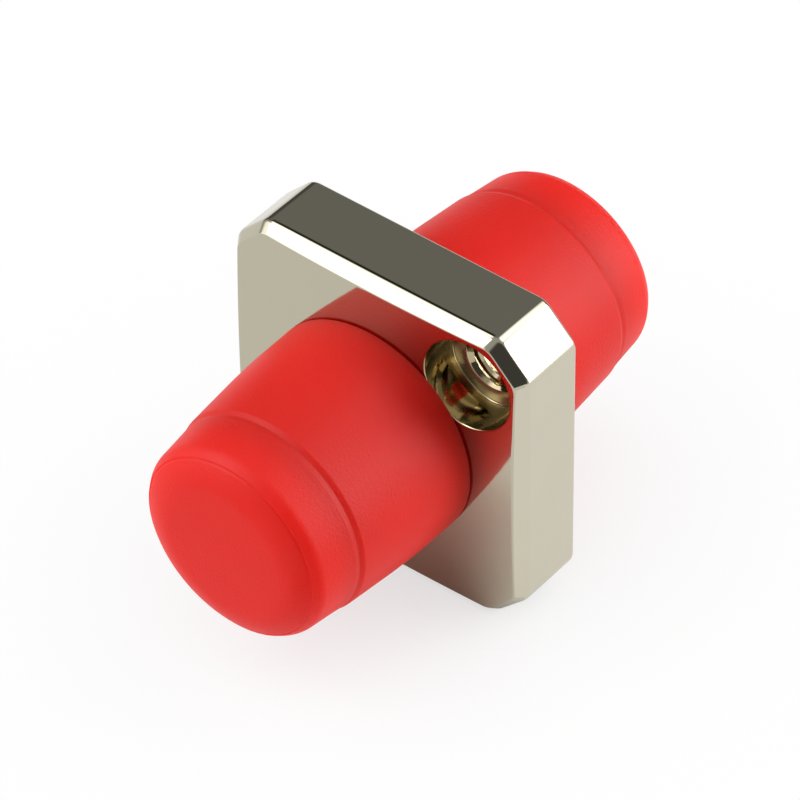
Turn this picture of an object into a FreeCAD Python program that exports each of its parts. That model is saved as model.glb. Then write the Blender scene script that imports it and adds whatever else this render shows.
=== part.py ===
"""FC fibre adapter: flanged and threaded body, captive alignment sleeve, two slip-on dust caps.

Millimetres, +Z up. The fibre axis is the Y axis. The origin is where the two ferrules meet, in the
middle of the flange's thickness. The counterbored front of the flange faces -Y, the rear +Y.
"""
import FreeCAD
import Part

import os
from math import sin, sqrt, tan

# Flange
FLANGE_SIZE = 14.0
FLANGE_THICKNESS = 3.44
CORNER_CHAMFER = 1.45
BEVEL_INSET = 0.335
BEVEL_DEPTH = 0.53
CROWN_RADIUS = 120.0
CROWN_HEIGHT = 0.24
REAR_EDGE_RADIUS = 0.2

# Screw holes, tapped M2.5 and counterbored from the front, on one diagonal of the flange
HOLE_PITCH = 12.7
COUNTERBORE_RADIUS = 1.95
COUNTERBORE_DEPTH = 1.57
TAP_RADIUS = 1.025
COUNTERSINK_RADIUS = 1.3

# Barrels, threaded M8 x 0.75, with the plug's socket and keyway
BARREL_RADIUS = 4.0
BARREL_LENGTH = 6.8
BARREL_END_CHAMFER = 0.45
RELIEF_RADIUS = 3.5
RELIEF_WIDTH = 0.45
SOCKET_RADIUS = 3.05
SOCKET_LEAD_IN = 0.2
WEB_THICKNESS = 2.0
KEYWAY_WIDTH = 2.15
KEYWAY_DEPTH = 4.0

# Sleeve holders, pressed into the web from both sides until the collar seats
POST_RADIUS = 2.2
POST_LENGTH = 6.2
POST_END_CHAMFER = 0.25
HOLDER_BORE_RADIUS = 1.65
LIP_THICKNESS = 0.45
LIP_RADIUS = 1.42
LIP_COUNTERSINK = 0.25
COLLAR_RADIUS = 2.75
COLLAR_THICKNESS = 0.5
COLLAR_CHAMFER = 0.12

# Split sleeve
SLEEVE_OUTER_RADIUS = 1.6
SLEEVE_BORE_RADIUS = 1.25
SLEEVE_LENGTH = 11.4
SLEEVE_LEAD_IN = 0.12
SLIT_WIDTH = 0.5

# Dust caps: radii, and distances from the flange's face
CAP_MOUTH_GAP = 0.2
CAP_MOUTH_RADIUS = 4.79
CAP_WAIST_RADIUS = 4.765
CAP_WAIST = 2.9
CAP_SHOULDER_RADIUS = 4.547
CAP_SHOULDER = 6.1
CAP_GROOVE_RADIUS = 4.39
CAP_GROOVE = 6.38
CAP_TIP_START_RADIUS = 4.41
CAP_TIP_START = 6.62
CAP_TIP_END_RADIUS = 4.24
CAP_TIP_END = 8.24
CAP_TIP_ROUND = 0.7
CAP_CREASE_OUTER_RADIUS = 4.03
CAP_CREASE_OUTER = 8.58
CAP_CREASE_INNER_RADIUS = 3.94
CAP_CREASE_INNER = 8.64
CAP_FACE_RADIUS = 3.2
CAP_FACE_EDGE = 9.02
CAP_FACE_ROUND = 2.2
CAP_LENGTH = 9.06
CAP_BORE_RADIUS = 4.04
CAP_BORE_LEAD_IN = 0.25
CAP_END_BORE_RADIUS = 3.2
CAP_END_WALL = 1.2

# Worked out from the above
FLANGE_FACE = FLANGE_THICKNESS / 2
BARREL_END = FLANGE_FACE + BARREL_LENGTH
HOLE_OFFSET = HOLE_PITCH / 2 / sqrt(2)

FIBRE_AXIS = FreeCAD.Vector(0, 1, 0)
UP = FreeCAD.Vector(0, 0, 1)
ORIGIN = FreeCAD.Vector(0, 0, 0)


def at(radius, y):
    """A point of a half profile: its radius from the fibre axis and its place along it."""
    return FreeCAD.Vector(radius, y, 0)


def rounded(points):
    """Edges through points of (place, radius), with arcs of those radii at the corners that have one."""
    edges = []
    start = points[0][0]
    for (before, _), (corner, radius), (after, _) in zip(points, points[1:], points[2:]):
        if radius == 0:
            edges.append(Part.makeLine(start, corner))
            start = corner
            continue
        back = (before - corner).normalize()
        on = (after - corner).normalize()
        half_angle = back.getAngle(on) / 2
        tangent = radius / tan(half_angle)
        middle = corner + (back + on).normalize() * (radius / sin(half_angle) - radius)
        edges.append(Part.makeLine(start, corner + back * tangent))
        edges.append(Part.Arc(corner + back * tangent, middle, corner + on * tangent).toShape())
        start = corner + on * tangent
    return edges + [Part.makeLine(start, points[-1][0])]


def turned(edges):
    """The solid swept by a closed half profile round the fibre axis."""
    profile = Part.Face(Part.Wire(edges))
    return profile.revolve(ORIGIN, FIBRE_AXIS, 360)


def turned_polygon(points):
    return turned(Part.makePolygon(points + points[:1]).Edges)


def facing_front(shape):
    """A copy of a rear piece, turned round to the front of the flange."""
    return shape.rotated(ORIGIN, UP, 180)


def flange_outline(inset, y):
    """The square with chamfered corners, all sides moved in by inset, in the plane at y."""
    half = FLANGE_SIZE / 2 - inset
    leg = CORNER_CHAMFER - inset * (2 - sqrt(2))
    near = half - leg
    corners = [
        (half, -near), (half, near), (near, half), (-near, half),
        (-half, near), (-half, -near), (-near, -half), (near, -half),
    ]
    points = [FreeCAD.Vector(x, y, z) for x, z in corners]
    return Part.makePolygon(points + points[:1])


def lies_at(edge, y):
    return all(abs(vertex.Y - y) < 1e-6 for vertex in edge.Vertexes)


def flange():
    """The plate with its front edge bevelled, its front face crowned and its rear outline rounded."""
    bevel_foot = -FLANGE_FACE + BEVEL_DEPTH
    crown_top = -FLANGE_FACE - CROWN_HEIGHT
    top_inset = BEVEL_INSET * (bevel_foot - crown_top) / BEVEL_DEPTH
    plate = Part.Face(flange_outline(0, bevel_foot)).extrude(FIBRE_AXIS * (FLANGE_FACE - bevel_foot))
    bevel = [flange_outline(0, bevel_foot), flange_outline(top_inset, crown_top)]
    front = Part.makeLoft(bevel, True, True)
    block = plate.fuse(front).removeSplitter()
    rear_edges = [edge for edge in block.Edges if lies_at(edge, FLANGE_FACE)]
    crown = Part.makeSphere(CROWN_RADIUS, at(0, crown_top + CROWN_RADIUS))
    return block.makeFillet(REAR_EDGE_RADIUS, rear_edges).common(crown)


def barrel():
    """The rear barrel down to the middle of the flange, with its thread relief and end chamfer."""
    relief_end = FLANGE_FACE + RELIEF_WIDTH
    return turned_polygon([
        at(0, 0),
        at(RELIEF_RADIUS, 0),
        at(RELIEF_RADIUS, relief_end),
        at(BARREL_RADIUS, relief_end + BARREL_RADIUS - RELIEF_RADIUS),
        at(BARREL_RADIUS, BARREL_END - BARREL_END_CHAMFER),
        at(BARREL_RADIUS - BARREL_END_CHAMFER, BARREL_END),
        at(0, BARREL_END),
    ])


def socket():
    """The space of the rear barrel that takes the plug, with the keyway on top."""
    bore = turned_polygon([
        at(0, WEB_THICKNESS / 2),
        at(SOCKET_RADIUS, WEB_THICKNESS / 2),
        at(SOCKET_RADIUS, BARREL_END - SOCKET_LEAD_IN),
        at(SOCKET_RADIUS + SOCKET_LEAD_IN, BARREL_END),
        at(0, BARREL_END),
    ])
    corner = FreeCAD.Vector(-KEYWAY_WIDTH / 2, BARREL_END - KEYWAY_DEPTH, 0)
    keyway = Part.makeBox(KEYWAY_WIDTH, KEYWAY_DEPTH, BARREL_RADIUS + 1, corner)
    return bore.fuse(keyway)


def screw_hole(x, z):
    """The counterbored and tapped hole whose centre is at x, z."""
    floor = -FLANGE_FACE + COUNTERBORE_DEPTH
    sink_end = floor + COUNTERSINK_RADIUS - TAP_RADIUS
    mouth = -FLANGE_FACE - CROWN_HEIGHT
    hole = turned_polygon([
        at(0, mouth),
        at(COUNTERBORE_RADIUS, mouth),
        at(COUNTERBORE_RADIUS, floor),
        at(COUNTERSINK_RADIUS, floor),
        at(TAP_RADIUS, sink_end),
        at(TAP_RADIUS, FLANGE_FACE),
        at(0, FLANGE_FACE),
    ])
    return hole.translated(FreeCAD.Vector(x, 0, z))


def adapter_body():
    rear = barrel()
    blank = flange().fuse([rear, facing_front(rear)])
    web_bore = Part.makeCylinder(POST_RADIUS, WEB_THICKNESS, at(0, -WEB_THICKNESS / 2), FIBRE_AXIS)
    holes = [screw_hole(HOLE_OFFSET, HOLE_OFFSET), screw_hole(-HOLE_OFFSET, -HOLE_OFFSET)]
    return blank.cut([socket(), facing_front(socket()), web_bore] + holes).removeSplitter()


def sleeve_holder():
    """The rear holder: a tube from the adapter's middle, with a seating collar and a lip at its end."""
    collar_start = WEB_THICKNESS / 2
    collar_end = collar_start + COLLAR_THICKNESS
    lip_start = POST_LENGTH - LIP_THICKNESS
    return turned_polygon([
        at(HOLDER_BORE_RADIUS, 0),
        at(POST_RADIUS, 0),
        at(POST_RADIUS, collar_start),
        at(COLLAR_RADIUS, collar_start),
        at(COLLAR_RADIUS, collar_end - COLLAR_CHAMFER),
        at(COLLAR_RADIUS - COLLAR_CHAMFER, collar_end),
        at(POST_RADIUS, collar_end),
        at(POST_RADIUS, POST_LENGTH - POST_END_CHAMFER),
        at(POST_RADIUS - POST_END_CHAMFER, POST_LENGTH),
        at(LIP_RADIUS + LIP_COUNTERSINK, POST_LENGTH),
        at(LIP_RADIUS, POST_LENGTH - LIP_COUNTERSINK),
        at(LIP_RADIUS, lip_start),
        at(HOLDER_BORE_RADIUS, lip_start),
    ])


def split_sleeve():
    """The slit tube, lying against the rear holder's lip."""
    end = POST_LENGTH - LIP_THICKNESS
    start = end - SLEEVE_LENGTH
    tube = turned_polygon([
        at(SLEEVE_BORE_RADIUS + SLEEVE_LEAD_IN, start),
        at(SLEEVE_OUTER_RADIUS, start),
        at(SLEEVE_OUTER_RADIUS, end),
        at(SLEEVE_BORE_RADIUS + SLEEVE_LEAD_IN, end),
        at(SLEEVE_BORE_RADIUS, end - SLEEVE_LEAD_IN),
        at(SLEEVE_BORE_RADIUS, start + SLEEVE_LEAD_IN),
    ])
    corner = FreeCAD.Vector(-SLIT_WIDTH / 2, start, 0)
    slit = Part.makeBox(SLIT_WIDTH, SLEEVE_LENGTH, SLEEVE_OUTER_RADIUS + 1, corner)
    return tube.cut(slit)


def cap_point(radius, distance):
    """A point of the rear cap's half profile, distance being from the flange's face."""
    return at(radius, FLANGE_FACE + distance)


def cap_outside():
    """The cap's outer half profile, from its mouth to the middle of its closed end."""
    return rounded([
        (cap_point(CAP_MOUTH_RADIUS, CAP_MOUTH_GAP), 0),
        (cap_point(CAP_WAIST_RADIUS, CAP_WAIST), 0),
        (cap_point(CAP_SHOULDER_RADIUS, CAP_SHOULDER), 0),
        (cap_point(CAP_GROOVE_RADIUS, CAP_GROOVE), 0),
        (cap_point(CAP_TIP_START_RADIUS, CAP_TIP_START), 0),
        (cap_point(CAP_TIP_END_RADIUS, CAP_TIP_END), CAP_TIP_ROUND),
        (cap_point(CAP_CREASE_OUTER_RADIUS, CAP_CREASE_OUTER), 0),
        (cap_point(CAP_CREASE_INNER_RADIUS, CAP_CREASE_INNER), 0),
        (cap_point(CAP_FACE_RADIUS, CAP_FACE_EDGE), CAP_FACE_ROUND),
        (cap_point(0, CAP_LENGTH), 0),
    ])


def cap_inside():
    """The cap's inner half profile, from the middle of its end wall back to its mouth.

    The step between the two bores stops on the barrel's end.
    """
    points = [
        cap_point(0, CAP_LENGTH),
        cap_point(0, CAP_LENGTH - CAP_END_WALL),
        cap_point(CAP_END_BORE_RADIUS, CAP_LENGTH - CAP_END_WALL),
        cap_point(CAP_END_BORE_RADIUS, BARREL_LENGTH),
        cap_point(CAP_BORE_RADIUS, BARREL_LENGTH),
        cap_point(CAP_BORE_RADIUS, CAP_MOUTH_GAP + CAP_BORE_LEAD_IN),
        cap_point(CAP_BORE_RADIUS + CAP_BORE_LEAD_IN, CAP_MOUTH_GAP),
        cap_point(CAP_MOUTH_RADIUS, CAP_MOUTH_GAP),
    ]
    return Part.makePolygon(points).Edges


def dust_cap():
    """The rear cap."""
    return turned(cap_outside() + cap_inside())


def save(name, shape):
    shape.exportStep(os.path.join("parts", name + ".step"))
    state = "valid" if shape.isValid() else "NOT VALID"
    print(name, state, len(shape.Solids), round(shape.Volume, 2), "mm3")


def main():
    os.makedirs("parts", exist_ok=True)
    holder = sleeve_holder()
    cap = dust_cap()
    save("adapter_body", adapter_body())
    save("front_sleeve_holder", facing_front(holder))
    save("rear_sleeve_holder", holder)
    save("split_sleeve", split_sleeve())
    save("front_dust_cap", facing_front(cap))
    save("rear_dust_cap", cap)


main()
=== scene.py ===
from collections import namedtuple
from math import ceil, cos, floor, hypot, pi, radians, sin, sqrt, tan

import bmesh
import bpy
from mathutils import Matrix, Vector
from mathutils.geometry import delaunay_2d_cdt


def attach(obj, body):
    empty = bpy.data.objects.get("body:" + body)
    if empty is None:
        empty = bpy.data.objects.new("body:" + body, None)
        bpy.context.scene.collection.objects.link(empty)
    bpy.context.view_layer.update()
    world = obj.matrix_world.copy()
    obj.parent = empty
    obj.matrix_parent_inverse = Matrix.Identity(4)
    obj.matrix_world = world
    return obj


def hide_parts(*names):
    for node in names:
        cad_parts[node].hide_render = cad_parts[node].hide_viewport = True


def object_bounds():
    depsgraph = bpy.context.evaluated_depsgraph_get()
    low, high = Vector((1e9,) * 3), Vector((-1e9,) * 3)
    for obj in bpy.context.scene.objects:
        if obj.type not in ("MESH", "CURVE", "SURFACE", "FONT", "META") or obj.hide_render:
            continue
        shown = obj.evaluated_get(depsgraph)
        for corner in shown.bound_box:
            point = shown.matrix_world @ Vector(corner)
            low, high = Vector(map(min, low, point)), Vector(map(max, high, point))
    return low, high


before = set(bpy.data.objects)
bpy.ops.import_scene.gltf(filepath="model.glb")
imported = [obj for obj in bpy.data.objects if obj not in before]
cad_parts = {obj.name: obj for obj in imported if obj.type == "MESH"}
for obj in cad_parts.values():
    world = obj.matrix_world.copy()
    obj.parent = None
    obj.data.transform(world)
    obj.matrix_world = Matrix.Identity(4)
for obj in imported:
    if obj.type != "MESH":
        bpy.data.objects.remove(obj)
cad_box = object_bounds()

# Sizes are in millimetres, as in the part's source, and become metres in Blender.
# A margin is the width of a flat ring beside an edge, or how far a cutting box reaches past the surface.
MM = 0.001
TOLERANCE = 0.001
SEAM_GAP = 0.0001
CUT_MARGIN = 1.0
ARC_STEPS = 5
SHARP_ANGLE = radians(50)

# Flange
FLANGE_HALF = 7.0
FLANGE_FACE = 1.72
CORNER_CHAMFER = 1.45
CORNER_ROUND = 0.75
BEVEL_INSET = 0.335
BEVEL_DEPTH = 0.53
BEVEL_INNER_ROUND = 0.1
BEVEL_OUTER_ROUND = 0.5
FRONT_MARGIN = 0.1
REAR_EDGE_ROUND = 0.2
REAR_MARGIN = 0.02
DOME_RADIUS = 120.0
DOME_EDGE = 7.6
FACE_STEP = 0.6
HOLE_CLEARANCE = FACE_STEP / 3
SIDE_PARTS = 18
CHAMFER_PARTS = 3

# Threads of a 60 degree form, made of rows of points a step apart along the axis
Thread = namedtuple("Thread", "pitch depth start end step")
HALF_CREST_SHARE = 1 / 16
FLANK_SLOPE = tan(radians(60))

# Screw holes, counterbored and tapped M2.5
HOLE_PITCH = 12.7
HOLE_OFFSET = HOLE_PITCH / 2 / sqrt(2)
HOLE_MARGIN = 0.08
HOLE_SEGMENTS = 96
COUNTERBORE_RADIUS = 1.95
COUNTERBORE_DEPTH = 1.57
COUNTERBORE_FLOOR = COUNTERBORE_DEPTH - FLANGE_FACE
COUNTERBORE_EDGE_ROUND = 0.06
COUNTERBORE_FLOOR_ROUND = 0.08
COUNTERSINK_RADIUS = 1.3
TAP_RADIUS = 1.025
TAP_EXIT_CHAMFER = 0.26
TAP_PITCH = 0.45
TAP_ROWS = 12
TAP_THREAD = Thread(
    pitch=TAP_PITCH,
    depth=0.225,
    start=COUNTERBORE_FLOOR + COUNTERSINK_RADIUS - TAP_RADIUS,
    end=FLANGE_FACE - TAP_EXIT_CHAMFER,
    step=TAP_PITCH / TAP_ROWS,
)

# Barrels, threaded M8 x 0.75
BARREL_RADIUS = 4.0
BARREL_LENGTH = 6.8
BARREL_END = FLANGE_FACE + BARREL_LENGTH
BARREL_END_CHAMFER = 0.45
BARREL_SEGMENTS = 128
RELIEF_RADIUS = 3.5
RELIEF_WIDTH = 0.45
RELIEF_END = FLANGE_FACE + RELIEF_WIDTH
RELIEF_ROUND = 0.05
BARREL_PITCH = 0.75
BARREL_ROWS = 14
BARREL_THREAD = Thread(
    pitch=BARREL_PITCH,
    depth=0.46,
    start=RELIEF_END + BARREL_RADIUS - RELIEF_RADIUS,
    end=BARREL_END - BARREL_END_CHAMFER,
    step=BARREL_PITCH / BARREL_ROWS,
)
SOCKET_RADIUS = 3.05
SOCKET_LEAD_IN = 0.2
SOCKET_MARGIN = 0.05
SOCKET_EDGE_ROUND = 0.04
SOCKET_FLOOR_ROUND = 0.1
WEB_HALF = 1.0
KEYWAY_WIDTH = 2.15
KEYWAY_DEPTH = 4.0

# Finishes of the casting, in the order of its materials, and how its faces are told apart. The holes' plate
# is painted darker as their shade; the counterbore floors' and the sides' plate is painted brighter as light
# on them
PLATE, DARKENED_RECESS, BRIGHTENED_CUT_FLOOR, BRIGHTENED_SIDE, TURNED = range(5)
FACES_SIDEWAYS = 0.75
NEAR_FACE = 0.01

# Sleeve holders
TUBE_SEGMENTS = 96
HOLDER_BORE_RADIUS = 1.65
HOLDER_EDGE_ROUND = 0.02
HOLDER_SEAT_ROUND = 0.01
COLLAR_RADIUS = 2.75
COLLAR_THICKNESS = 0.5
COLLAR_END = WEB_HALF + COLLAR_THICKNESS
COLLAR_EDGE_ROUND = 0.12
COLLAR_FILLET = 0.06
POST_RADIUS = 2.2
POST_END = 6.2
POST_END_ROUND = 0.22
LIP_RADIUS = 1.42
LIP_THICKNESS = 0.45
LIP_START = POST_END - LIP_THICKNESS
LIP_COUNTERSINK = 0.25
LIP_OUTER_ROUND = 0.05
LIP_INNER_ROUND = 0.03

# Split sleeve, its outline drawn from a seam inside the bore
SLEEVE_OUTER_RADIUS = 1.6
SLEEVE_BORE_RADIUS = 1.25
SLEEVE_LENGTH = 11.4
SLEEVE_END = LIP_START
SLEEVE_START = SLEEVE_END - SLEEVE_LENGTH
SEAM_INSET = 2.0
SLEEVE_SEAM = SLEEVE_START + SEAM_INSET
SLEEVE_BORE_ROUND = 0.1
SLEEVE_OUTER_ROUND = 0.06
SLIT_WIDTH = 0.5

# Dust caps: an outside corner is a radius, a distance from the flange's face and the corner's rounding
CAP_SEGMENTS = 160
CAP_ARC_STEPS = 8
CAP_LENGTH = 9.06
CAP_FACE_EDGE = (3.2, 9.01, 2.2)
CAP_RIM = (3.865, 8.64, 0.12)
CAP_CREASE = (3.92, 8.555, 0.05)
CAP_LIP = (3.985, 8.56, 0.05)
CAP_TIP_END = (4.215, 8.22, 0.7)
CAP_TIP_START = (4.37, 6.8, 0.6)
CAP_BEAD = (4.405, 6.56, 0.2)
CAP_GROOVE = (4.385, 6.34, 0.12)
CAP_SHOULDER = (4.5, 6.13, 0.2)
CAP_WAIST = (4.765, 2.9, 30)
CAP_MOUTH = 0.2
CAP_MOUTH_EDGE = (4.79, CAP_MOUTH, 0.06)
CAP_BORE_RADIUS = 4.04
CAP_BORE_END = 6.8
CAP_BORE_ROUND = 0.05
CAP_LEAD_IN = 0.25
CAP_LEAD_IN_ROUND = 0.08
CAP_END_BORE_RADIUS = 3.2
CAP_END_WALL = 1.2
CAP_END_ROUND = 0.3

# Camera, from a fit to the photograph's edges
AZIMUTH = radians(39.19)
ELEVATION = radians(42.63)
ROLL = radians(-0.80)
DISTANCE = 223.42
SHIFT_RIGHT = -0.117
SHIFT_UP = -0.033
LENS = 263.47
SENSOR_WIDTH = 36
CLIP_START = 10

# Softboxes: the key is mirrored in the flange's top bevel, the card in its upper right chamfer
SOFTBOX_DISTANCE = 350
KEY_DIRECTION = (-0.47, -0.45, 0.76)
KEY_SIZE = 140
KEY_RADIANCE = 3.3
CARD_DIRECTION = (0.72, 0.62, 0.31)
CARD_SIZE = 260
CARD_RADIANCE = 3.8

# Light tent: an even level and soft-edged panels, each a direction, a half angle in degrees and a level.
# A later panel covers an earlier one.
TENT_LEVEL = 0.54
PANEL_EDGE = 6
TENT_PANELS = [
    # Front left, a bright wall that lights the caps
    ((-0.66, -0.62, 0.42), 29, 1.9),
    # Behind, a dark wall
    ((0.1, 0.92, 0.38), 38, 0.1),
    # Above and behind, mirrored in the flange's top side
    ((-0.47, 0.56, 0.68), 36, 0.235),
    # Above, a bright line on the edge between the top side and the upper right chamfer
    ((0.31, 0.57, 0.76), 13, 2.7),
    # Left, a dark wall
    ((-0.85, 0.5, 0.1), 20, 0.1),
    # Above, a dark line along the top side's front edge
    ((-0.465, 0.3, 0.83), 11, 0.02),
    # Overhead, the bright upper edge of the top bevel
    ((-0.465, -0.06, 0.88), 9, 2.7),
    # Front right, mirrored dark in the bevel of the upper right corner
    ((0.75, -0.5, 0.42), 38, 0.08),
]

# Floor: how white it looks to the camera and in mirrors, from fully covered to fully open to the sky
FLOOR_REACH = 2000
SHADOW_REACH = 20
CAMERA_SHADE = 0.6
CAMERA_WHITE = 1.0
MIRROR_SHADE_END = 0.32
MIRROR_WHITE_START = 0.68
MIRROR_WHITE = 0.85


def rounded(points, closed=False, steps=ARC_STEPS):
    """The outline through points of (a, b, radius), with arcs of those radii at its corners."""
    outline = []
    for i, (a, b, radius) in enumerate(points):
        corner = Vector((a, b))
        is_end = not closed and i in (0, len(points) - 1)
        if is_end or radius == 0:
            outline.append(corner)
            continue
        before = (Vector(points[i - 1][:2]) - corner).normalized()
        after = (Vector(points[(i + 1) % len(points)][:2]) - corner).normalized()
        half = before.angle(after) / 2
        centre = corner + (before + after).normalized() * radius / sin(half)
        start = corner + before * radius / tan(half) - centre
        end = corner + after * radius / tan(half) - centre
        for k in range(steps + 1):
            outline.append(centre + start.lerp(end, k / steps).normalized() * radius)
    return outline


def divided(points, step):
    """The same outline with points added, so that none are further than step apart."""
    fine = []
    for start, end in zip(points, points[1:]):
        parts = max(1, ceil((end - start).length / step))
        fine += [start.lerp(end, k / parts) for k in range(parts)]
    return fine + points[-1:]


def ring(bm, points):
    return [bm.verts.new(Vector(point) * MM) for point in points]


def skin(bm, first, second, finish=PLATE):
    """Quads between two rings of equal length, or a fan where one of them is a single point."""
    count = max(len(first), len(second))
    for i in range(count):
        j = (i + 1) % count
        corners = [
            first[i % len(first)], first[j % len(first)],
            second[j % len(second)], second[i % len(second)],
        ]
        face = bm.faces.new(dict.fromkeys(corners))
        face.material_index = finish


def turn(bm, profile, segments, centre=(0, 0), threaded=None, finish=PLATE):
    """The surface swept by a profile of (radius, y) round an axis along Y. Returns its two end rings."""
    rings = []
    for radius, y in profile:
        points = []
        for k in range(segments if radius > 0 else 1):
            angle = 2 * pi * k / segments
            r, along = threaded(radius, y, angle) if threaded else (radius, y)
            points.append((centre[0] + r * cos(angle), along, centre[1] + r * sin(angle)))
        rings.append(ring(bm, points))
    for first, second in zip(rings, rings[1:]):
        skin(bm, first, second, finish)
    return rings[0], rings[-1]


def turned_tube(profile):
    """A mesh turned from an outline that ends where it starts."""
    bm = bmesh.new()
    turn(bm, profile, TUBE_SEGMENTS)
    bmesh.ops.remove_doubles(bm, verts=bm.verts, dist=SEAM_GAP * MM)
    return bm


def as_object(name, bm, materials):
    bmesh.ops.recalc_face_normals(bm, faces=bm.faces)
    mesh = bpy.data.meshes.new(name)
    bm.to_mesh(mesh)
    bm.free()
    for material in materials:
        mesh.materials.append(material)
    obj = bpy.data.objects.new(name, mesh)
    bpy.context.scene.collection.objects.link(obj)
    return obj


def cut_boxes(obj, boxes):
    """Takes boxes, each given by two opposite corners, out of an object's mesh."""
    bm = bmesh.new()
    for low, high in boxes:
        low, high = Vector(low) * MM, Vector(high) * MM
        size = Matrix.Diagonal((*(high - low), 1))
        bmesh.ops.create_cube(bm, size=1, matrix=Matrix.Translation((low + high) / 2) @ size)
    cutter = as_object("cutter", bm, [])
    modifier = obj.modifiers.new("cut", "BOOLEAN")
    modifier.object = cutter
    modifier.solver = "EXACT"
    evaluated = obj.evaluated_get(bpy.context.evaluated_depsgraph_get())
    cut_mesh = bpy.data.meshes.new_from_object(evaluated)
    obj.modifiers.clear()
    obj.data = cut_mesh
    bpy.data.objects.remove(cutter)


def smooth(obj):
    """Smooth shading that keeps flat faces flat, and the edges of cuts and threads sharp."""
    obj.data.shade_smooth()
    obj.data.set_sharp_from_angle(angle=SHARP_ANGLE)
    weighted = obj.modifiers.new("flat faces", "WEIGHTED_NORMAL")
    weighted.keep_sharp = True


def place(obj, body, node):
    smooth(obj)
    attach(obj, body)
    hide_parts(node)


def from_crest(thread, y, angle):
    """How far a place on a right-hand thread lies along the axis from the middle of its crest."""
    turns = y / thread.pitch + angle / (2 * pi)
    return (turns - floor(turns) - 0.5) * thread.pitch


def thread_groove(thread, y, angle):
    """How deep the thread is cut at a place on its cylinder, from 0 to its full depth."""
    from_edge = abs(from_crest(thread, y, angle)) - thread.pitch * HALF_CREST_SHARE
    return min(max(from_edge * FLANK_SLOPE, 0), thread.depth)


def on_thread_edge(thread, y, angle):
    """A place on a row of points, moved onto the thread's crest or root edge if no other row is nearer."""
    length = thread.end - thread.start
    row = length / ceil(length / thread.step)
    if not thread.start + row / 2 < abs(y) < thread.end - row / 2:
        return y
    crest_edge = thread.pitch * HALF_CREST_SHARE
    root_edge = crest_edge + thread.depth / FLANK_SLOPE
    here = from_crest(thread, y, angle)
    shifts = [edge - here for edge in (-root_edge, -crest_edge, crest_edge, root_edge)]
    shift = min(shifts, key=abs)
    return y + shift if abs(shift) < row / 2 else y


def barrel_thread(radius, y, angle):
    """A place on the barrels' profile, cut by the thread between the relief and the end."""
    if radius >= RELIEF_RADIUS and RELIEF_END < abs(y) < BARREL_END:
        y = on_thread_edge(BARREL_THREAD, y, angle)
        radius = min(radius, BARREL_RADIUS - thread_groove(BARREL_THREAD, y, angle))
    return radius, y


def tapped_thread(radius, y, angle):
    """A place on a screw hole's profile, cut outwards by the thread below the counterbore."""
    if radius < TAP_RADIUS + TAP_THREAD.depth:
        y = on_thread_edge(TAP_THREAD, y, angle)
        radius = max(radius, TAP_RADIUS + thread_groove(TAP_THREAD, y, angle))
    return radius, y


def flange_ring(bm, inset, y):
    """The square with chamfered, slightly rounded corners, all sides moved in by inset."""
    half = FLANGE_HALF - inset
    near = half - CORNER_CHAMFER + inset * (2 - sqrt(2))
    corners = [
        (half, -near), (half, near), (near, half), (-near, half),
        (-half, near), (-half, -near), (-near, -half), (near, -half),
    ]
    outline = rounded([(x, z, CORNER_ROUND) for x, z in corners], closed=True)
    arc_points = len(outline) // len(corners)
    points = []
    for i, start in enumerate(outline):
        points.append(start)
        corner, place_in_arc = divmod(i, arc_points)
        if place_in_arc == arc_points - 1:
            end = outline[(i + 1) % len(outline)]
            parts = CHAMFER_PARTS if corner % 2 else SIDE_PARTS
            points += [start.lerp(end, k / parts) for k in range(1, parts)]
    return ring(bm, [(x, y, z) for x, z in points])


def flange_edge(bm):
    """The flange's bevelled rim. Returns its front and rear rings."""
    profile = rounded([
        (BEVEL_INSET + FRONT_MARGIN, -FLANGE_FACE, 0),
        (BEVEL_INSET, -FLANGE_FACE, BEVEL_INNER_ROUND),
        (0, -FLANGE_FACE + BEVEL_DEPTH, BEVEL_OUTER_ROUND),
        (0, FLANGE_FACE, REAR_EDGE_ROUND),
        (REAR_EDGE_ROUND + REAR_MARGIN, FLANGE_FACE, 0),
    ])
    rings = [flange_ring(bm, inset, y) for inset, y in profile]
    for first, second in zip(rings, rings[1:]):
        skin(bm, first, second)
    return rings[0], rings[-1]


def screw_hole(bm, centre):
    """A counterbored and tapped hole. Returns its front and rear rings."""
    counterbore = rounded([
        (COUNTERBORE_RADIUS + HOLE_MARGIN, -FLANGE_FACE, 0),
        (COUNTERBORE_RADIUS, -FLANGE_FACE, COUNTERBORE_EDGE_ROUND),
        (COUNTERBORE_RADIUS, COUNTERBORE_FLOOR, COUNTERBORE_FLOOR_ROUND),
        (COUNTERSINK_RADIUS, COUNTERBORE_FLOOR, 0),
    ])
    exit_radius = TAP_RADIUS + TAP_EXIT_CHAMFER
    tapped = divided([
        counterbore[-1],
        Vector((TAP_RADIUS, TAP_THREAD.start)),
        Vector((TAP_RADIUS, TAP_THREAD.end)),
        Vector((exit_radius, FLANGE_FACE)),
        Vector((exit_radius + HOLE_MARGIN, FLANGE_FACE)),
    ], TAP_THREAD.step)
    # The hole takes a plate painted darker, as painted shade inside it
    return turn(bm, counterbore[:-1] + tapped, HOLE_SEGMENTS, centre, tapped_thread, DARKENED_RECESS)


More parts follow.
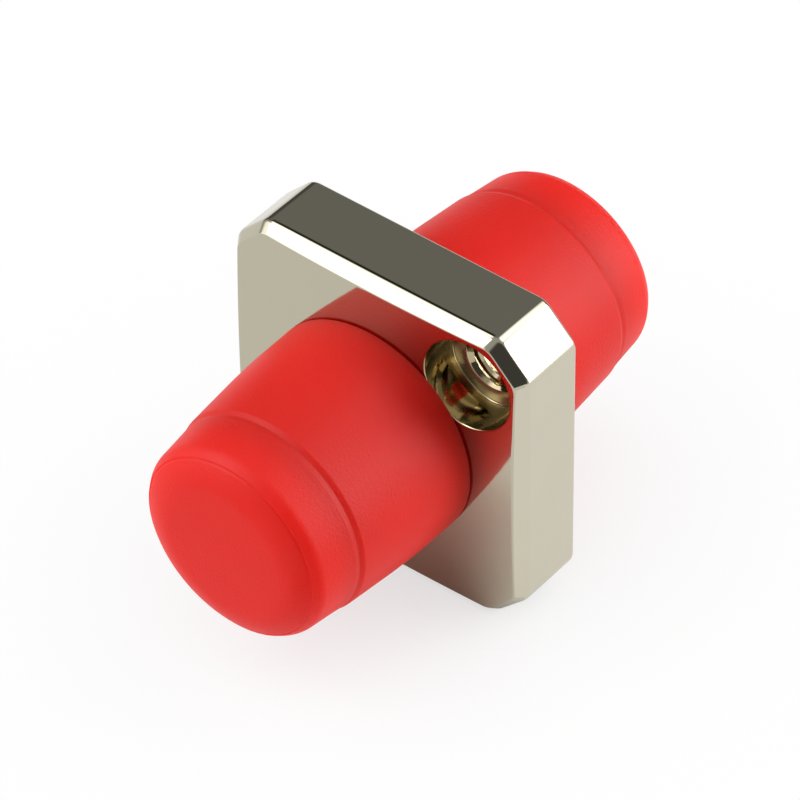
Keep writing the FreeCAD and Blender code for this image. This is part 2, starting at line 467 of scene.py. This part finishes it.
def barrels(bm):
    """Both barrels, their sockets and the web's bore. Returns the rings at the rear and front faces."""
    outside = rounded([
        (RELIEF_RADIUS, FLANGE_FACE, 0),
        (RELIEF_RADIUS, RELIEF_END, RELIEF_ROUND),
        (BARREL_RADIUS, BARREL_THREAD.start, 0),
        (BARREL_RADIUS, BARREL_THREAD.end, 0),
        (BARREL_RADIUS - BARREL_END_CHAMFER, BARREL_END, 0),
    ])
    socket = rounded([
        (SOCKET_RADIUS + SOCKET_LEAD_IN + SOCKET_MARGIN, BARREL_END, 0),
        (SOCKET_RADIUS + SOCKET_LEAD_IN, BARREL_END, SOCKET_EDGE_ROUND),
        (SOCKET_RADIUS, BARREL_END - SOCKET_LEAD_IN, SOCKET_EDGE_ROUND),
        (SOCKET_RADIUS, WEB_HALF, SOCKET_FLOOR_ROUND),
        (POST_RADIUS, WEB_HALF, 0),
    ])
    rear = divided(outside, BARREL_THREAD.step) + socket
    front = [Vector((radius, -y)) for radius, y in reversed(rear)]
    return turn(bm, rear + front, BARREL_SEGMENTS, threaded=barrel_thread)


def fill_face(bm, outer, *holes):
    """The flange's face between its rim and the holes, in triangles of even size."""
    y = outer[0].co.y / MM
    circles = []
    for hole in holes:
        centre = sum((vert.co for vert in hole), Vector()) / len(hole) / MM
        circles.append((centre.x, centre.z, (hole[0].co / MM - centre).length))
    verts, edges = [], []
    for loop in (outer, *holes):
        edges += [(len(verts) + i, len(verts) + (i + 1) % len(loop)) for i in range(len(loop))]
        verts += loop
    reach = FLANGE_HALF - BEVEL_INSET - FACE_STEP
    steps = int(reach / FACE_STEP)
    for i in range(-steps, steps + 1):
        for j in range(-steps, steps + 1):
            x, z = i * FACE_STEP, j * FACE_STEP
            in_corner = abs(x) + abs(z) > 2 * reach - CORNER_CHAMFER
            in_hole = any(hypot(x - cx, z - cz) < radius + HOLE_CLEARANCE for cx, cz, radius in circles)
            if not in_corner and not in_hole:
                verts += ring(bm, [(x, y, z)])
    points = [Vector((vert.co.x, vert.co.z)) / MM for vert in verts]
    inside_only, epsilon = 1, 1e-6
    _, _, faces, origins, _, _ = delaunay_2d_cdt(points, edges, [], inside_only, epsilon)
    for face in faces:
        corners = [verts[origins[k][0]] for k in face]
        middle = sum((vert.co for vert in corners), Vector()) / len(corners) / MM
        if not any(hypot(middle.x - cx, middle.z - cz) < radius for cx, cz, radius in circles):
            bm.faces.new(corners)


def crown_front(bm):
    """Pushes the flange's front face out to a shallow dome, which fades away down the bevel."""
    for vert in bm.verts:
        x, y, z = vert.co / MM
        depth = y + FLANGE_FACE
        if -TOLERANCE < depth < BEVEL_DEPTH and hypot(x, z) > RELIEF_RADIUS - TOLERANCE:
            height = (DOME_EDGE ** 2 - x * x - z * z) / (2 * DOME_RADIUS)
            vert.co.y -= height * (1 - depth / BEVEL_DEPTH) * MM


def mark_finishes(bm):
    """Gives the counterbores' floors a rougher plate painted brighter as light on them, the flange's sides a
    satin plate painted brighter for the bright floor they mirror, and the turned sockets their own finish.
    """
    bm.normal_update()
    socket_edge = SOCKET_RADIUS + SOCKET_LEAD_IN
    for face in bm.faces:
        middle = face.calc_center_median() / MM
        # Counterbore floors: a rougher plate painted brighter, as painted light on them
        if face.material_index == DARKENED_RECESS and abs(middle.y - COUNTERBORE_FLOOR) < NEAR_FACE:
            face.material_index = BRIGHTENED_CUT_FLOOR
        # The flange's sides: a satin plate painted brighter, as painted light standing for the bright floor
        # they mirror
        elif abs(middle.x) > FLANGE_HALF - BEVEL_INSET and abs(face.normal.x) > FACES_SIDEWAYS:
            face.material_index = BRIGHTENED_SIDE
        elif hypot(middle.x, middle.z) < socket_edge and abs(middle.y) < BARREL_END - NEAR_FACE:
            face.material_index = TURNED


def adapter_body(materials):
    """The casting, in triangles before its keyways are cut, so that the cuts leave clean edges."""
    bm = bmesh.new()
    front_edge, rear_edge = flange_edge(bm)
    rear_barrel, front_barrel = barrels(bm)
    upper = screw_hole(bm, (HOLE_OFFSET, HOLE_OFFSET))
    lower = screw_hole(bm, (-HOLE_OFFSET, -HOLE_OFFSET))
    fill_face(bm, front_edge, front_barrel, upper[0], lower[0])
    fill_face(bm, rear_edge, rear_barrel, upper[1], lower[1])
    crown_front(bm)
    mark_finishes(bm)
    bmesh.ops.triangulate(bm, faces=bm.faces, quad_method="SHORT_EDGE")
    body = as_object("adapter_casting", bm, materials)
    start, end = BARREL_END - KEYWAY_DEPTH, BARREL_END + CUT_MARGIN
    side, top = KEYWAY_WIDTH / 2, BARREL_RADIUS + CUT_MARGIN
    cut_boxes(body, [((-side, start, 0), (side, end, top)), ((-side, -end, 0), (side, -start, top))])
    place(body, "adapter", "adapter_body")


def sleeve_holder(name, direction, material):
    """A turned tube with a seating collar and an inner lip that keeps the sleeve in."""
    profile = rounded([
        (HOLDER_BORE_RADIUS, 0, 0),
        (POST_RADIUS, 0, HOLDER_EDGE_ROUND),
        (POST_RADIUS, WEB_HALF, HOLDER_SEAT_ROUND),
        (COLLAR_RADIUS, WEB_HALF, HOLDER_EDGE_ROUND),
        (COLLAR_RADIUS, COLLAR_END, COLLAR_EDGE_ROUND),
        (POST_RADIUS, COLLAR_END, COLLAR_FILLET),
        (POST_RADIUS, POST_END, POST_END_ROUND),
        (LIP_RADIUS + LIP_COUNTERSINK, POST_END, LIP_OUTER_ROUND),
        (LIP_RADIUS, POST_END - LIP_COUNTERSINK, LIP_OUTER_ROUND),
        (LIP_RADIUS, LIP_START, LIP_INNER_ROUND),
        (HOLDER_BORE_RADIUS, LIP_START, LIP_INNER_ROUND),
        (HOLDER_BORE_RADIUS, 0, 0),
    ])
    bm = turned_tube([(radius, direction * y) for radius, y in profile])
    holder = as_object(name + "_turned", bm, [material])
    place(holder, "adapter", name)


def split_sleeve(material):
    """A ground tube, slit along its top."""
    profile = rounded([
        (SLEEVE_BORE_RADIUS, SLEEVE_SEAM, 0),
        (SLEEVE_BORE_RADIUS, SLEEVE_START, SLEEVE_BORE_ROUND),
        (SLEEVE_OUTER_RADIUS, SLEEVE_START, SLEEVE_OUTER_ROUND),
        (SLEEVE_OUTER_RADIUS, SLEEVE_END, SLEEVE_OUTER_ROUND),
        (SLEEVE_BORE_RADIUS, SLEEVE_END, SLEEVE_BORE_ROUND),
        (SLEEVE_BORE_RADIUS, SLEEVE_SEAM, 0),
    ])
    sleeve = as_object("split_sleeve_ground", turned_tube(profile), [material])
    low = (-SLIT_WIDTH / 2, SLEEVE_START - CUT_MARGIN, 0)
    high = (SLIT_WIDTH / 2, SLEEVE_END + CUT_MARGIN, SLEEVE_OUTER_RADIUS + CUT_MARGIN)
    cut_boxes(sleeve, [(low, high)])
    place(sleeve, "adapter", "split_sleeve")


def dust_cap(name, body, direction, material):
    """A soft moulded cap with a rounded mouth, a shallow groove and a rounded closed end."""
    profile = rounded([
        (0, CAP_LENGTH, 0),
        CAP_FACE_EDGE,
        CAP_RIM,
        CAP_CREASE,
        CAP_LIP,
        CAP_TIP_END,
        CAP_TIP_START,
        CAP_BEAD,
        CAP_GROOVE,
        CAP_SHOULDER,
        CAP_WAIST,
        CAP_MOUTH_EDGE,
        (CAP_BORE_RADIUS + CAP_LEAD_IN, CAP_MOUTH, CAP_LEAD_IN_ROUND),
        (CAP_BORE_RADIUS, CAP_MOUTH + CAP_LEAD_IN, CAP_LEAD_IN_ROUND),
        (CAP_BORE_RADIUS, CAP_BORE_END, CAP_BORE_ROUND),
        (CAP_END_BORE_RADIUS, CAP_BORE_END, CAP_BORE_ROUND),
        (CAP_END_BORE_RADIUS, CAP_LENGTH - CAP_END_WALL, CAP_END_ROUND),
        (0, CAP_LENGTH - CAP_END_WALL, 0),
    ], steps=CAP_ARC_STEPS)
    bm = bmesh.new()
    turn(bm, [(radius, direction * (FLANGE_FACE + s)) for radius, s in profile], CAP_SEGMENTS)
    cap = as_object(name + "_moulded", bm, [material])
    place(cap, body, name)


def set_inputs(tree, node, inputs):
    """Sets a node's inputs, named with _ for spaces, to numbers, colours or other nodes' outputs."""
    for name, value in inputs.items():
        socket = node.inputs[name.replace("_", " ")]
        if isinstance(value, bpy.types.NodeSocket):
            tree.links.new(value, socket)
        else:
            socket.default_value = value


def add_node(tree, kind, **inputs):
    """The first output of a new shader node."""
    node = tree.nodes.new("ShaderNode" + kind)
    set_inputs(tree, node, inputs)
    return node.outputs[0]


def combined(tree, operation, first, second):
    """The sum or product of two nodes' outputs."""
    node = tree.nodes.new("ShaderNodeMath")
    node.operation = operation
    tree.links.new(first, node.inputs[0])
    tree.links.new(second, node.inputs[1])
    return node.outputs[0]


def set_shader(tree, **inputs):
    set_inputs(tree, tree.nodes["Principled BSDF"], inputs)


def new_material(name):
    """A new material, its node tree and the place on the object as its nodes see it."""
    material = bpy.data.materials.new(name)
    material.use_nodes = True
    tree = material.node_tree
    spot = tree.nodes.new("ShaderNodeTexCoord").outputs["Object"]
    return material, tree, spot


def nickel(name, colour, darker, roughness):
    """Bright nickel plate: slightly uneven in tone and gloss, with the faint ripple of a cast surface."""
    material, tree, spot = new_material(name)
    cloud = add_node(tree, "TexNoise", Vector=spot, Scale=420, Detail=4)
    tint = add_node(tree, "MixRGB", Fac=cloud, Color1=(*darker, 1), Color2=(*colour, 1))
    gloss = add_node(
        tree, "MapRange", Value=cloud, From_Min=0.3, From_Max=0.7,
        To_Min=roughness * 0.8, To_Max=roughness * 1.25,
    )
    ripple = add_node(tree, "TexNoise", Vector=spot, Scale=1600, Detail=2)
    bump = add_node(tree, "Bump", Height=ripple, Strength=0.02, Distance=0.00005)
    set_shader(tree, Base_Color=tint, Roughness=gloss, Normal=bump, Metallic=1)
    return material


def soft_red():
    """Soft moulded plastic: saturated red, slightly translucent, with a fine mould grain."""
    material, tree, spot = new_material("soft red plastic")
    cloud = add_node(tree, "TexNoise", Vector=spot, Scale=300, Detail=3)
    deep, bright = (0.84, 0.011, 0.006, 1), (0.90, 0.017, 0.009, 1)
    tint = add_node(tree, "MixRGB", Fac=cloud, Color1=deep, Color2=bright)
    grain = add_node(tree, "TexNoise", Vector=spot, Scale=10000, Detail=3)
    bump = add_node(tree, "Bump", Height=grain, Strength=0.5, Distance=0.00004)
    set_shader(
        tree, Base_Color=tint, Normal=bump, Roughness=0.5, Specular_IOR_Level=0.36,
        Subsurface_Weight=1, Subsurface_Radius=(1, 0.15, 0.1), Subsurface_Scale=0.0013,
    )
    return material


def zirconia():
    """Ground white ceramic, faintly mottled."""
    material, tree, spot = new_material("zirconia")
    cloud = add_node(tree, "TexNoise", Vector=spot, Scale=1500, Detail=3)
    deep, bright = (0.80, 0.78, 0.72, 1), (0.86, 0.85, 0.80, 1)
    tint = add_node(tree, "MixRGB", Fac=cloud, Color1=deep, Color2=bright)
    set_shader(tree, Base_Color=tint, Roughness=0.22, Subsurface_Weight=0.15, Subsurface_Scale=0.0004)
    return material


def casting_finishes():
    """The casting's materials, in the order of its finishes: plate, plate painted darker in the holes as
    their shade, rougher plate painted brighter on the cut floors, satin plate painted brighter on the sides,
    and turned plate.
    """
    return [
        nickel("nickel plate", colour=(0.51, 0.48, 0.37), darker=(0.485, 0.455, 0.35), roughness=0.06),
        # Plate in the holes, painted darker as the shade inside them
        nickel(
            "nickel plate painted darker in the holes",
            colour=(0.52, 0.45, 0.28), darker=(0.42, 0.35, 0.21), roughness=0.08,
        ),
        # Rougher plate on the cut floors, painted brighter as painted light on them
        nickel(
            "rough nickel plate painted brighter on cut floors",
            colour=(0.62, 0.54, 0.34), darker=(0.50, 0.43, 0.26), roughness=0.3,
        ),
        # Satin plate on the flange's sides, painted brighter as painted light for the bright floor they
        # mirror
        nickel("satin nickel plate painted brighter", colour=(0.63, 0.595, 0.48), darker=(0.59, 0.555, 0.44), roughness=0.16),
        nickel("turned nickel plate", colour=(0.67, 0.61, 0.50), darker=(0.62, 0.56, 0.45), roughness=0.22),
    ]


def build_part():
    finishes = casting_finishes()
    red = soft_red()
    adapter_body(finishes)
    sleeve_holder("front_sleeve_holder", -1, finishes[TURNED])
    sleeve_holder("rear_sleeve_holder", 1, finishes[TURNED])
    split_sleeve(zirconia())
    dust_cap("front_dust_cap", "front_cap", -1, red)
    dust_cap("rear_dust_cap", "rear_cap", 1, red)


def add_camera():
    back = Vector((sin(AZIMUTH) * cos(ELEVATION), -cos(AZIMUTH) * cos(ELEVATION), sin(ELEVATION)))
    level = Vector((cos(AZIMUTH), sin(AZIMUTH), 0))
    upright = back.cross(level)
    right = cos(ROLL) * level + sin(ROLL) * upright
    up = cos(ROLL) * upright - sin(ROLL) * level
    data = bpy.data.cameras.new("camera")
    data.lens = LENS
    data.sensor_width = SENSOR_WIDTH
    data.clip_start = CLIP_START * MM
    camera = bpy.data.objects.new("camera", data)
    camera.matrix_world = Matrix((right, up, back)).transposed().to_4x4()
    camera.location = (right * SHIFT_RIGHT + up * SHIFT_UP + back * DISTANCE) * MM
    bpy.context.scene.collection.objects.link(camera)
    bpy.context.scene.camera = camera


def add_softbox(name, direction, size, radiance):
    """A square light that faces the object, given by how bright it looks."""
    data = bpy.data.lights.new(name, "AREA")
    data.shape = "SQUARE"
    data.size = size * MM
    data.energy = radiance * pi * (size * MM) ** 2
    light = bpy.data.objects.new(name, data)
    direction = Vector(direction).normalized()
    light.location = direction * SOFTBOX_DISTANCE * MM
    light.rotation_euler = direction.to_track_quat("Z", "Y").to_euler()
    bpy.context.scene.collection.objects.link(light)


def add_tent():
    """An even light tent with panels in it, some brighter and some darker."""
    world = bpy.data.worlds.new("light tent")
    world.use_nodes = True
    tree = world.node_tree
    ray = tree.nodes.new("ShaderNodeTexCoord").outputs["Generated"]
    colour = (TENT_LEVEL, TENT_LEVEL, TENT_LEVEL, 1)
    for direction, half_angle, level in TENT_PANELS:
        dot = tree.nodes.new("ShaderNodeVectorMath")
        dot.operation = "DOT_PRODUCT"
        tree.links.new(ray, dot.inputs[0])
        dot.inputs[1].default_value = Vector(direction).normalized()
        inside = add_node(
            tree, "MapRange", Value=dot.outputs["Value"],
            From_Min=cos(radians(half_angle + PANEL_EDGE)), From_Max=cos(radians(half_angle - PANEL_EDGE)),
        )
        colour = add_node(tree, "MixRGB", Fac=inside, Color1=colour, Color2=(level, level, level, 1))
    tree.links.new(colour, tree.nodes["Background"].inputs["Color"])
    bpy.context.scene.world = world


def add_floor():
    """A white floor that the camera and mirror-like surfaces see as a bright, softly shaded backdrop."""
    bm = bmesh.new()
    bmesh.ops.create_grid(bm, x_segments=1, y_segments=1, size=FLOOR_REACH * MM)
    material, tree, _ = new_material("floor")
    set_shader(tree, Base_Color=(0.9, 0.9, 0.9, 1), Roughness=0.9, Specular_IOR_Level=0)
    occlusion = tree.nodes.new("ShaderNodeAmbientOcclusion")
    occlusion.inputs["Distance"].default_value = SHADOW_REACH * MM
    open_sky = occlusion.outputs["AO"]
    path = tree.nodes.new("ShaderNodeLightPath").outputs
    seen = add_node(
        tree, "MapRange", Value=open_sky, From_Min=0, From_Max=1,
        To_Min=CAMERA_SHADE, To_Max=CAMERA_WHITE,
    )
    mirrored = add_node(
        tree, "MapRange", Value=open_sky, From_Min=MIRROR_SHADE_END, From_Max=MIRROR_WHITE_START,
        To_Min=0, To_Max=MIRROR_WHITE,
    )
    seen = combined(tree, "MULTIPLY", seen, path["Is Camera Ray"])
    mirrored = combined(tree, "MULTIPLY", mirrored, path["Is Glossy Ray"])
    white = add_node(tree, "Emission", Strength=1)
    mix = add_node(tree, "MixShader", Fac=combined(tree, "ADD", seen, mirrored))
    tree.links.new(tree.nodes["Principled BSDF"].outputs[0], mix.node.inputs[1])
    tree.links.new(white, mix.node.inputs[2])
    tree.links.new(mix, tree.nodes["Material Output"].inputs["Surface"])
    floor_plane = as_object("floor", bm, [material])
    floor_plane.location.z = cad_box[0].z


def light_scene():
    add_tent()
    add_floor()
    add_softbox("key", KEY_DIRECTION, KEY_SIZE, KEY_RADIANCE)
    add_softbox("card", CARD_DIRECTION, CARD_SIZE, CARD_RADIANCE)
    bpy.context.scene.view_settings.view_transform = "Standard"


build_part()
add_camera()
light_scene()
